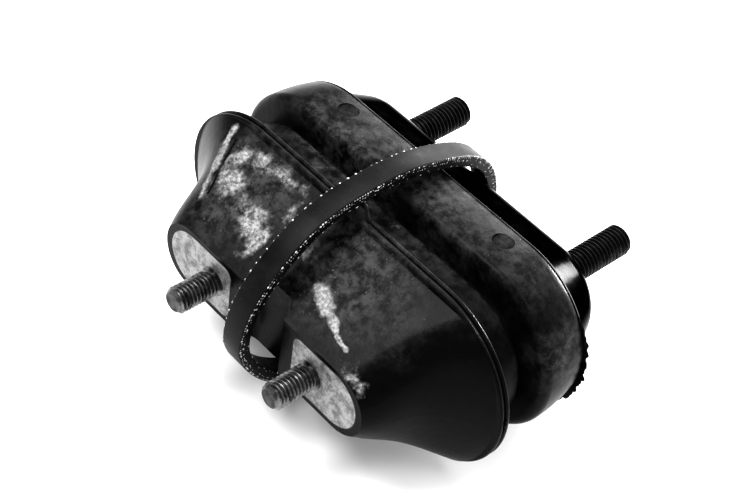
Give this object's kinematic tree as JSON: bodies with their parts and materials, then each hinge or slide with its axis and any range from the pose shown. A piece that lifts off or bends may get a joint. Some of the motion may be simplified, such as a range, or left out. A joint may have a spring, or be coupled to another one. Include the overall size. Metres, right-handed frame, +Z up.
{
  "type": "engine mount",
  "caption": "Bonded rubber engine mount with studded feet, a flared lipped body, a studded black steel cup and a rubber restraint strap looped round its middle.",
  "frame": {"origin": "bottom centre of the whole mount: the lowest point of the strap, midway between the front and rear stud tips", "axes": "+X along the mount's long axis towards the right stud of each pair, +Y along the studs from the feet towards the cup, +Z up"},
  "size_m": [0.165, 0.1528, 0.0868],
  "materials": {
    "moulded_rubber": "satin, chalky and speckled where worn",
    "strap_rubber": "smooth matt",
    "bare_steel": "pale, matt, fine grained",
    "stud_steel": "satin zinc plate",
    "cup_paint": "high gloss black",
    "plate_paint": "dull black"
  },
  "bodies": {
    "root": {"rubber_body": "moulded_rubber", "left_foot_plate": "bare_steel", "right_foot_plate": "bare_steel", "left_front_stud": "stud_steel", "right_front_stud": "stud_steel", "left_rear_stud": "stud_steel", "right_rear_stud": "stud_steel", "interleaf_plate": "plate_paint", "rear_cup": "cup_paint", "restraint_strap": "strap_rubber"}
  },
  "joints": []
}
